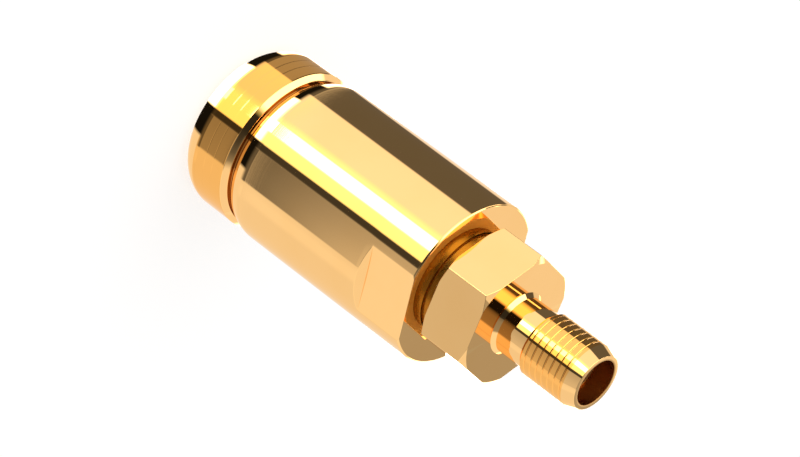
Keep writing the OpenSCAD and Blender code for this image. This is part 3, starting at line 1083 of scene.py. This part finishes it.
# Leans, in degrees, over which one table takes over from the one before
DOWN_LEANS = (-6.0, -14.0)
BACK_LEANS = (22.0, 26.0)
UP_LEANS = (41.2, 42.0)

# The brown strip of the first table: its borders, and its levels by lean and by angle
BROWN_START = (9.2, 10.0)
BROWN_END = (33.0, 31.8)
BROWN_LEANS = (-1.6, 0.3)
BROWN_LEVELS = (0.14, 0.66)
BROWN_TURNS = (6.0, 36.0)
BROWN_GAINS = (0.85, 1.15)

# Heights of the facing direction in make_world that show on the collar, and their fall on the sides
COLLAR_TOP = (-0.0345, -0.0351)
COLLAR_BOTTOM = (-0.08, -0.074)
SIDE_DROP = 0.0096

# Leans and angles at which the strips for mirrors that lean by 30 degrees run on higher up
HIGH_START = (43.8, 44.5)
HIGH_END = (57.0, 55.0)
HIGH_MIDDLE = -22.5
HIGH_SIDES = (29.5, 31.5)

# The bright part behind the adapter, and the plain part overhead, which comes down lower at the front
BEHIND_TURNS = (88.0, 96.0)
OVERHEAD_LEANS = (66.0, 78.0)
FRONT_LEANS = (55.5, 58.5)
FRONT_MIDDLE = -15.0
FRONT_SIDES = (50.0, 46.0)
OVERHEAD_SPLIT = (-0.006, 0.006)
OVERHEAD_LEVELS = (0.98, 0.46)


class Studio(Tree):
    """The node tree of the world, with the mixes that the studio is made of."""

    def bands(self, place, stops):
        """Colours along a table of stops."""
        made = self.node("ShaderNodeValToRGB", {"Fac": place})
        ramp = made.color_ramp.elements
        while len(ramp) > 1:
            ramp.remove(ramp[-1])
        first, last = stops[0][0], stops[-1][0]
        for i, (angle, level, blue) in enumerate(stops):
            at = (angle - first) / (last - first)
            stop = ramp[0] if i == 0 else ramp.new(at)
            stop.position = at
            stop.color = (level / BAND_TOP, level / BAND_TOP, blue * level / BAND_TOP, 1.0)
        return made.outputs["Color"]

    def span(self, value, low, high, start=0.0, end=1.0):
        """A smooth step from start to end as a value goes from low to high."""
        inputs = {"Value": value, "From Min": low, "From Max": high, "To Min": start, "To Max": end}
        return self.node("ShaderNodeMapRange", inputs, interpolation_type="SMOOTHSTEP").outputs[0]

    def off_middle(self, turn, middle):
        """How far an angle lies from a middle one."""
        return self.math("ABSOLUTE", self.math("SUBTRACT", turn, middle))

    def grey(self, level):
        return self.node("ShaderNodeCombineColor", {0: level, 1: level, 2: level}).outputs[0]


def make_world():
    """A light tent with dark strips, which the polished metal reflects. It lights dull surfaces evenly, and
    the camera sees it white."""
    world = bpy.data.worlds.new("studio")
    world.use_nodes = True
    world.cycles.sampling_method = "NONE"
    bpy.context.scene.world = world
    t = Studio(world.node_tree)
    t.tree.nodes.clear()
    # A mirror that shows this part of the tent faces half way between it and the camera's side
    to_camera = (0.0, -math.cos(CAMERA_ELEVATION), math.sin(CAMERA_ELEVATION))
    way = t.node("ShaderNodeTexCoord").outputs["Generated"]
    facing = t.node("ShaderNodeVectorMath", {0: way, 1: to_camera}, operation="ADD").outputs[0]
    x, y, z = t.node("ShaderNodeSeparateXYZ", {0: facing}).outputs
    ahead = t.math("MULTIPLY", y, -1.0)
    turn = t.math("MULTIPLY", t.math("ARCTAN2", x, ahead), 180 / math.pi)
    first, last = UPRIGHT[0][0], UPRIGHT[-1][0]
    place = t.math("DIVIDE", t.math("SUBTRACT", turn, first), last - first, clamp=True)
    out = t.math("SQRT", t.math("ADD", t.math("MULTIPLY", x, x), t.math("MULTIPLY", y, y)))
    lean = t.math("MULTIPLY", t.math("ARCTAN2", z, out), 180 / math.pi)
    # The brown strip pales upwards
    brown = t.math("MULTIPLY", t.span(turn, *BROWN_START), t.span(turn, *BROWN_END))
    by_lean = t.span(lean, *BROWN_LEANS, *BROWN_LEVELS)
    brown_level = t.math("MULTIPLY", by_lean, t.span(turn, *BROWN_TURNS, *BROWN_GAINS))
    tent = t.blend(brown, t.bands(place, UPRIGHT), t.grey(t.math("DIVIDE", brown_level, BAND_TOP)))
    # The low part shows on the collar alone
    side_drop = t.math("MULTIPLY", t.math("SUBTRACT", t.math("DIVIDE", ahead, out), 1.0), SIDE_DROP)
    height = t.math("ADD", z, side_drop)
    on_collar = t.math("MULTIPLY", t.span(height, *COLLAR_TOP), t.span(height, *COLLAR_BOTTOM))
    tent = t.blend(on_collar, tent, t.bands(place, LOW))
    tent = t.blend(t.span(lean, *DOWN_LEANS), tent, t.bands(place, LEANING_DOWN))
    back = t.bands(place, LEANING_BACK)
    tent = t.blend(t.span(lean, *BACK_LEANS), tent, back)
    tent = t.blend(t.span(lean, *UP_LEANS), tent, t.bands(place, LEANING_UP))
    # On both sides of the front the strips for mirrors that lean by 30 degrees run on higher up
    high = t.math("MULTIPLY", t.span(lean, *HIGH_START), t.span(lean, *HIGH_END))
    sides = t.span(t.off_middle(turn, HIGH_MIDDLE), *HIGH_SIDES)
    tent = t.blend(t.math("MULTIPLY", high, sides), tent, back)
    # Behind the adapter it is bright, apart from the strips just named
    far = t.span(t.off_middle(turn, 0.0), *BEHIND_TURNS)
    behind = t.math("MULTIPLY", far, t.math("SUBTRACT", 1.0, high))
    tent = t.blend(behind, tent, t.grey(BACKDROP_LEVEL / BAND_TOP))
    # Overhead the tent is plain, and darker on the +X side
    front = t.span(t.off_middle(turn, FRONT_MIDDLE), *FRONT_SIDES)
    low_front = t.math("MULTIPLY", t.span(lean, *FRONT_LEANS), front)
    overhead = t.math("MAXIMUM", t.span(lean, *OVERHEAD_LEANS), low_front)
    overhead_level = t.math("DIVIDE", t.span(x, *OVERHEAD_SPLIT, *OVERHEAD_LEVELS), BAND_TOP)
    tent = t.blend(overhead, tent, t.grey(overhead_level))
    rays = t.node("ShaderNodeLightPath").outputs
    shiny = t.blend(rays["Is Glossy Ray"], (DIFFUSE_LEVEL / BAND_TOP,) * 3 + (1.0,), tent)
    seen = t.blend(rays["Is Camera Ray"], shiny, (1 / BAND_TOP,) * 3 + (1.0,))
    light = t.node("ShaderNodeBackground", {"Color": seen, "Strength": BAND_TOP})
    t.node("ShaderNodeOutputWorld", {"Surface": light.outputs[0]})


FLOOR_REACH = 3.0
FLOOR_DROP = 0.00005
FLOOR_GREY = (0.32, 0.32, 0.32, 1.0)
FLOOR_GLOW = 0.73


def make_floor():
    """A white floor that keeps a soft shadow. From below it can be seen through, so that the plug's end
    shows."""
    form = bmesh.new()
    bmesh.ops.create_grid(form, x_segments=1, y_segments=1, size=FLOOR_REACH)
    floor = new_piece("floor", form)
    floor.data.transform(Matrix.Translation((0.0, 0.0, -FLOOR_DROP)))
    material = bpy.data.materials.new("white_floor")
    material.use_nodes = True
    t = Tree(material.node_tree)
    t.tree.nodes.clear()
    rays = t.node("ShaderNodeLightPath").outputs
    paper = t.node("ShaderNodeBsdfDiffuse", {"Color": FLOOR_GREY})
    glow = t.node("ShaderNodeEmission", {"Strength": t.math("MULTIPLY", rays["Is Camera Ray"], FLOOR_GLOW)})
    lit = t.node("ShaderNodeAddShader", {0: paper.outputs[0], 1: glow.outputs[0]})
    clear = t.node("ShaderNodeBsdfTransparent")
    behind = t.node("ShaderNodeNewGeometry").outputs["Backfacing"]
    whole = t.node("ShaderNodeMixShader", {0: behind, 1: lit.outputs[0], 2: clear.outputs[0]})
    t.node("ShaderNodeOutputMaterial", {"Surface": whole.outputs[0]})
    floor.data.materials.append(material)
    floor.visible_glossy = False
    floor.visible_diffuse = False
    floor.visible_shadow = False


LAMP_SIZE = 0.7
LAMP_POWER = 2.0
LAMP_PLACE = (-0.25, -0.2, 0.75)


def make_lamp():
    """One large soft lamp overhead."""
    data = bpy.data.lights.new("overhead_lamp", "AREA")
    data.shape = "DISK"
    data.size = LAMP_SIZE
    data.energy = LAMP_POWER
    lamp = bpy.data.objects.new("overhead_lamp", data)
    lamp.location = LAMP_PLACE
    lamp.rotation_euler = (-lamp.location).to_track_quat("-Z", "Y").to_euler()
    lamp.visible_glossy = False
    lamp.visible_camera = False
    bpy.context.scene.collection.objects.link(lamp)


make_camera()
make_world()
make_floor()
make_lamp()
bpy.context.scene.view_settings.view_transform = "Standard"
